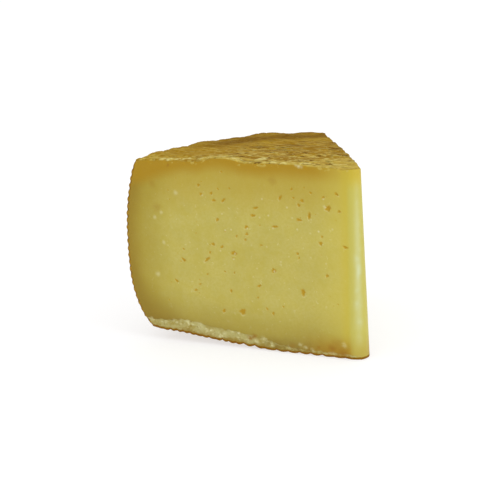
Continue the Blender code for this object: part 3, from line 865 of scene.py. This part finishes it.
class Graph:
    """Short ways to add shader nodes. A value is a number or another node's output.

    Colours are given by their sRGB values out of 255, and the sizes of noise in millimetres.
    """

    def __init__(self, owner, shader="Principled BSDF"):
        owner.use_nodes = True
        self.tree = owner.node_tree
        self.shader = self.tree.nodes[shader]

    def put(self, socket, value):
        if isinstance(value, bpy.types.NodeSocket):
            self.tree.links.new(value, socket)
        else:
            socket.default_value = value

    def feed(self, values):
        """Gives the shader its inputs."""
        for name, value in values.items():
            self.put(self.shader.inputs[name], value)

    def node(self, kind, inputs, output=0, **settings):
        made = self.tree.nodes.new(kind)
        for name, value in settings.items():
            setattr(made, name, value)
        for key, value in inputs.items():
            self.put(made.inputs[key], value)
        return made.outputs[output]

    def math(self, operation, first, second, clamp=False):
        return self.node("ShaderNodeMath", {0: first, 1: second}, operation=operation, use_clamp=clamp)

    def times(self, first, *others):
        for other in others:
            first = self.math("MULTIPLY", first, other)
        return first

    def scaled(self, value, factor, offset=0.0):
        return self.node("ShaderNodeMath", {0: value, 1: factor, 2: offset}, operation="MULTIPLY_ADD")

    def ramp(self, value, low, high, to_low=0.0, to_high=1.0):
        inputs = {"Value": value, "From Min": low, "From Max": high, "To Min": to_low, "To Max": to_high}
        return self.node("ShaderNodeMapRange", inputs, interpolation_type="SMOOTHSTEP")

    def between(self, share, first, second):
        """The number that lies at a share of the way between two."""
        return self.node("ShaderNodeMix", {0: share, 2: first, 3: second}, data_type="FLOAT")

    def mix(self, share, first, second):
        """The same for two colours."""
        first, second = (colour(*tint) if isinstance(tint, tuple) else tint for tint in (first, second))
        inputs = {0: share, 6: first, 7: second}
        return self.node("ShaderNodeMix", inputs, 2, data_type="RGBA")

    def stained(self, body, stains):
        """A colour with others laid over it in turn: where each one lies, how strong it is and its tint."""
        for share, strength, tint in stains:
            body = self.mix(self.times(share, strength), body, tint)
        return body

    def read(self, name):
        return self.node("ShaderNodeAttribute", {}, "Fac", attribute_name=name)

    def noise(self, sizes, detail=2.0, roughness=0.5, distortion=0.0):
        """Noise in object coordinates. Its size is one number or one for each axis."""
        sizes = sizes if isinstance(sizes, tuple) else (sizes, sizes, sizes)
        place = self.node("ShaderNodeTexCoord", {}, "Object")
        scale = [1 / (size * MM) for size in sizes]
        place = self.node("ShaderNodeVectorMath", {0: place, 1: scale}, operation="MULTIPLY")
        inputs = {"Vector": place, "Scale": 1.0, "Detail": detail, "Roughness": roughness}
        return self.node("ShaderNodeTexNoise", {**inputs, "Distortion": distortion}, "Fac")

    def patches(self, low, high, *noise):
        """Patches of noise: 0 where it is below low and 1 where it is above high."""
        return self.ramp(self.noise(*noise), low, high)


def paste_colour(graph):
    """The cut paste: pale straw, cloudy, amber under the top, olive brown towards the side and the base,
    partly painted shade, and lighter towards the tip, painted light from the right.
    """
    below_top = graph.read("below_top")
    in_from_rim = graph.read("in_from_rim")
    from_axis = graph.read("from_axis")
    wander = graph.scaled(graph.noise(14, 3), 9, -4.5)
    from_top = graph.scaled(wander, 0.45, below_top)
    from_rim = graph.scaled(wander, 0.5, in_from_rim)
    from_base = graph.scaled(wander, 0.4, graph.read("above_base"))
    from_heel = graph.math("ADD", in_from_rim, from_base)
    amber = graph.math("SUBTRACT", from_top, graph.ramp(in_from_rim, 26, 2, 0, 5))
    mottled_base = graph.times(graph.ramp(from_base, 7, 1), graph.patches(0.4, 0.6, (4.5, 3, 2.6), 3, 0.6))
    soft = graph.times(graph.ramp(from_axis, 8.2, 6), graph.ramp(from_top, 3, 11))
    foot = graph.times(graph.ramp(from_axis, 34, 12), graph.ramp(from_base, 13, 2))
    foot = graph.times(foot, graph.ramp(from_axis, 5, 8, 0.4, 1))
    hanging = graph.times(graph.patches(0.56, 0.66, 2.2), graph.ramp(below_top, 2, 0.6))
    stains = (
        # Patches, grain and flecks
        (graph.patches(0.4, 0.6, 8, 2, 0.5, 0.6), 0.4, (186, 176, 98)),
        (graph.patches(0.35, 0.65, 4.5, 3), 0.35, (196, 184, 104)),
        (graph.patches(0.3, 0.7, 1.2, 2, 0.6), 0.45, (183, 167, 68)),
        (graph.patches(0.64, 0.72, 2.1), 0.4, (208, 202, 138)),
        # Below the top and inside the rim; the darkening inside the rim is partly painted shade on the side
        # away from the light
        (graph.ramp(from_top, 27, 4.5), 0.77, (178, 153, 50)),
        (graph.ramp(from_rim, 25, 6), 0.7, (160, 139, 38)),
        (graph.ramp(from_rim, 9, 1), 0.75, (147, 117, 24)),
        (graph.ramp(amber, 8, 1), 0.95, (168, 131, 14)),
        # Above the base and the heel: darker towards them, partly painted shade
        (graph.ramp(from_base, 23, 2), 0.85, (158, 139, 50)),
        (graph.ramp(from_heel, 36, 10), 0.8, (142, 116, 30)),
        (mottled_base, 0.6, (134, 104, 30)),
        (graph.ramp(from_base, 9, 1), 0.55, (126, 100, 30)),
        # Towards the tip; the lighter yellows are painted light from the right
        (graph.ramp(from_axis, 25, 6), 0.55, (202, 187, 78)),
        (graph.ramp(from_axis, 12, 8), 0.4, (198, 178, 48)),
        (soft, 0.7, (188, 182, 90)),
        (foot, 0.85, (164, 124, 18)),
        # Scraps of rind that hang over the upper edge
        (hanging, 0.6, (196, 176, 84)),
    )
    cloud = graph.patches(0.3, 0.7, 15, 3)
    return graph.stained(graph.mix(cloud, (191, 178, 88), (184, 170, 78)), stains)


def chalk_colour(graph):
    """The broken edge: chalky, brown at its foot, with loose and bright crumbs and brown pits."""
    in_break = graph.read("in_break")
    loose = graph.times(graph.patches(0.4, 0.6, (6, 4, 4), 3, 0.6), graph.ramp(in_break, 0.12, 0.4))
    stains = (
        (loose, 0.8, (188, 181, 118)),
        (graph.times(graph.patches(0.57, 0.66, (2.8, 2, 1.8)), in_break), 0.85, (216, 212, 158)),
        (graph.patches(0.6, 0.68, (2.2, 2, 1.6), 2, 0.6), 0.7, (144, 114, 44)),
    )
    return graph.stained(graph.mix(graph.ramp(in_break, 0.1, 0.6), (150, 122, 44), (170, 154, 80)), stains)


def rind_colour(graph):
    """The rind: amber brown, with dark and tan streaks, pale chips, grey-green specks and painted shade in
    the grooves of the side and the underside.
    """
    on_top = graph.read("on_top")
    from_front = graph.read("from_front")
    from_axis = graph.read("from_axis")
    in_from_rim = graph.read("in_from_rim")
    lively = graph.ramp(from_axis, 90, 66, 0.3, 1)
    patch = graph.patches(0.4, 0.6, 17, 3, 0.55)
    streak = graph.times(graph.patches(0.43, 0.57, (12, 3, 4), 4, 0.7, 0.5), lively)
    fine = graph.patches(0.42, 0.58, (3.6, 1.6, 1.6), 3, 0.65)
    grit = graph.patches(0.35, 0.65, (1.6, 1.1, 1), 2, 0.6)
    rim_band = graph.times(graph.ramp(in_from_rim, 17, 10), graph.ramp(in_from_rim, 1, 5, 0.5))
    rim_band = graph.times(rim_band, graph.ramp(from_front, 30, 47, 0.1), graph.ramp(fine, 0, 1, 1, 0.8))
    stains = (
        (graph.read("tan_mark"), 0.65, (178, 148, 66)),
        (fine, 0.7, graph.mix(lively, (184, 150, 46), (204, 177, 92))),
        (streak, 0.65, (128, 88, 8)),
        (graph.ramp(from_front, 10, 55), 0.25, (142, 104, 6)),
        (rim_band, 0.9, (106, 70, 4)),
        (graph.read("dark_mark"), 0.7, (106, 68, 6)),
        (grit, 0.4, (138, 102, 16)),
    )
    top = graph.stained(graph.mix(patch, (162, 126, 18), (173, 142, 36)), stains)
    stains = (
        (fine, 0.5, (186, 153, 70)),
        (grit, 0.35, (132, 94, 20)),
        # Painted shade in the grooves between the strands
        (graph.ramp(graph.read("rind_height"), 0.6, 0.1), 0.65, (98, 62, 10)),
    )
    side = graph.stained(graph.mix(patch, (152, 112, 28), (166, 128, 42)), stains)

    # The pale margin along the front cut and at the tip
    wavering = graph.scaled(streak, 6, graph.scaled(fine, 7, from_front))
    pale = graph.math("MAXIMUM", graph.ramp(wavering, 19, 9), graph.ramp(from_axis, 32, 10))
    shreds = graph.patches(0.46, 0.58, (3.4, 4, 3))
    shreds = graph.math("MAXIMUM", shreds, graph.ramp(from_axis, 84, 64, 0, 0.6))
    specks = graph.patches(0.58, 0.66, (4.4, 2.1, 2), 3, 0.6)
    dark = graph.patches(0.57, 0.65, (6, 2, 2.4), 3, 0.6, 0.3)
    chips = graph.patches(0.55, 0.63, (3.2, 1.9, 1.7), 2, 0.6)
    chips = graph.times(chips, graph.ramp(from_front, 50, 6, 0.35, 1), lively, on_top)
    stains = (
        (graph.times(pale, shreds, on_top), 0.8, (198, 177, 82)),
        (graph.times(specks, lively), 0.6, (130, 120, 62)),
        (graph.times(dark, lively), 0.8, (82, 50, 4)),
        (chips, 0.65, (208, 193, 110)),
        (graph.times(graph.read("flake"), graph.ramp(grit, 0, 1, 0.55, 1)), 0.9, (212, 200, 124)),
        (graph.ramp(graph.read("above_base"), 2.4, 0.8), 0.85, (132, 90, 16)),
    )
    return graph.stained(graph.mix(on_top, side, top), stains)


def skin_material():
    material = bpy.data.materials.new("pecorino")
    graph = Graph(material)
    edge_noise = graph.noise(1.4, 3, 0.6)
    line = graph.scaled(edge_noise, 0.8, 0.7)
    ragged = graph.math("ADD", graph.read("paste"), graph.scaled(edge_noise, 0.5, -0.25))
    is_paste = graph.ramp(ragged, 0.4, 0.6)
    for name in ("above_base", "in_from_rim"):
        past_line = graph.math("SUBTRACT", graph.read(name), line)
        is_paste = graph.times(is_paste, graph.ramp(past_line, -0.15, 0.15))

    patchy = graph.ramp(graph.noise((4, 3, 3), 3, 0.6), 0.46, 0.58, 0.1, 1)
    patchy = graph.math("MAXIMUM", patchy, graph.ramp(graph.read("from_axis"), 38, 52))
    chalk = graph.times(graph.read("chalk"), patchy)
    broken = graph.times(graph.read("crumb"), graph.ramp(edge_noise, 0.4, 0.55, 0.45, 1))
    # Uneven strength of the tip's painted highlight
    wavering = graph.ramp(graph.noise(9), 0.4, 0.6, 0.45, 1)
    stains = (
        (chalk, 0.9, chalk_colour(graph)),
        (broken, 0.9, (222, 219, 164)),
        (graph.read("stain"), 0.85, (150, 104, 12)),
        # Painted highlight, partly a paler worn edge, on the tip's rounding
        (graph.read("tip_wear_and_highlight"), wavering, (203, 208, 160)),
        # Painted highlight on the eyes' rims
        (graph.read("eye_highlight"), 0.5, (212, 207, 140)),
        (graph.read("eye"), 0.9, (184, 144, 14)),
    )
    body = graph.mix(is_paste, rind_colour(graph), graph.stained(paste_colour(graph), stains))
    # Pale crystals, and the painted highlights of the glints
    body = graph.stained(body, [(graph.read("crystal_and_glint"), 0.85, (214, 210, 156))])

    smooth_paste = graph.scaled(graph.noise(0.7, 3), 0.2)
    height = graph.mix(is_paste, graph.noise((3, 1.5, 1.4), 4, 0.7), smooth_paste)
    height = graph.mix(chalk, height, graph.noise(1.6, 4, 0.7))
    bump = {"Strength": BUMP_STRENGTH, "Distance": BUMP_HEIGHT * MM, "Height": height}
    gloss = graph.ramp(graph.noise(4), 0.3, 0.7, *PASTE_ROUGHNESS)
    roughness = graph.between(is_paste, RIND_ROUGHNESS, gloss)
    roughness = graph.math("ADD", roughness, graph.scaled(chalk, CHALK_ROUGHNESS), clamp=True)
    graph.feed({
        "Base Color": body,
        "Roughness": roughness,
        "Normal": graph.node("ShaderNodeBump", bump),
        "Specular IOR Level": graph.between(is_paste, RIND_SPECULAR, PASTE_SPECULAR),
        "Subsurface Weight": SUBSURFACE,
        "Subsurface Radius": SUBSURFACE_SPREAD,
        "Subsurface Scale": SUBSURFACE_REACH * MM,
    })
    return material


def add_object(name, data):
    made = bpy.data.objects.new(name, data)
    bpy.context.scene.collection.objects.link(made)
    return made


def build_skin():
    mesh = base_skin()
    refine(mesh)
    relief(mesh)
    shape = bmesh.new()
    shape.from_mesh(mesh)
    bmesh.ops.recalc_face_normals(shape, faces=shape.faces)
    shape.to_mesh(mesh)
    shape.free()
    mesh.polygons.foreach_set("use_smooth", [True] * len(mesh.polygons))
    mesh.materials.append(skin_material())
    skin = add_object("pecorino_skin", mesh)
    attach(skin, "root")
    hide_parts(NODE)


# The camera, found from the photograph: where it is from the axis, and which way it looks
CAMERA_PLACE = (182.914, -511.161, 186.118)
CAMERA_RIGHT = (0.9120628, 0.4086589, -0.0337522)
CAMERA_UP = (-0.0701653, 0.2366353, 0.9690617)
CAMERA_BACK = (0.4040026, -0.881477, 0.2444999)
CAMERA_LENS = 98.963
SENSOR_WIDTH = 36.0
CAMERA_REACH = (0.01, 20.0)

# The studio, in metres: a pale floor under a sky that is brighter overhead, and two square soft boxes
FLOOR_SIZE = 14.0
FLOOR_COLOUR = (0.36, 0.36, 0.36, 1.0)
FLOOR_GLOW = 0.66
FLOOR_ROUGHNESS = 0.8
SKY_LOW = 0.46
SKY_HIGH = 1.2
WHITE = (1.0, 1.0, 1.0, 1.0)
SOFT_BOXES = (
    ("key", (0.9, -0.26, 0.42), 0.5, 2.6),
    ("front", (-0.5, -1.2, 0.5), 0.8, 1.2),
)
SOFT_BOX_TARGET = Vector((0.0, 0.0, 0.04))


def make_camera():
    data = bpy.data.cameras.new("camera")
    data.lens = CAMERA_LENS
    data.sensor_width = SENSOR_WIDTH
    data.clip_start, data.clip_end = CAMERA_REACH
    camera = add_object("camera", data)
    place = Vector((CAMERA_PLACE[0] + AXIS_X, CAMERA_PLACE[1] + AXIS_Y, CAMERA_PLACE[2])) * MM
    turn = Matrix((CAMERA_RIGHT, CAMERA_UP, CAMERA_BACK)).transposed().to_4x4()
    camera.matrix_world = Matrix.Translation(place) @ turn
    bpy.context.scene.camera = camera


def make_light(name, place, size, power):
    data = bpy.data.lights.new(name, "AREA")
    data.size = size
    data.energy = power
    light = add_object(name, data)
    light.location = place
    light.rotation_euler = (SOFT_BOX_TARGET - Vector(place)).to_track_quat("-Z", "Y").to_euler()


def make_floor():
    mesh = bpy.data.meshes.new("floor")
    half = FLOOR_SIZE / 2
    corners = [(-half, -half, 0), (half, -half, 0), (half, half, 0), (-half, half, 0)]
    mesh.from_pydata(corners, [], [(0, 1, 2, 3)])
    material = bpy.data.materials.new("floor")
    Graph(material).feed({
        "Base Color": FLOOR_COLOUR,
        "Emission Color": WHITE,
        "Emission Strength": FLOOR_GLOW,
        "Roughness": FLOOR_ROUGHNESS,
    })
    mesh.materials.append(material)
    floor = add_object("floor", mesh)


def make_sky():
    world = bpy.data.worlds.new("studio")
    graph = Graph(world, "Background")
    up = graph.node("ShaderNodeSeparateXYZ", {0: graph.node("ShaderNodeTexCoord", {}, "Generated")}, "Z")
    brightness = graph.node("ShaderNodeMapRange", {"Value": up, "To Min": SKY_LOW, "To Max": SKY_HIGH})
    graph.feed({"Color": WHITE, "Strength": brightness})
    bpy.context.scene.world = world


build_skin()
make_camera()
make_floor()
make_sky()
for soft_box in SOFT_BOXES:
    make_light(*soft_box)
bpy.context.scene.view_settings.view_transform = "Standard"
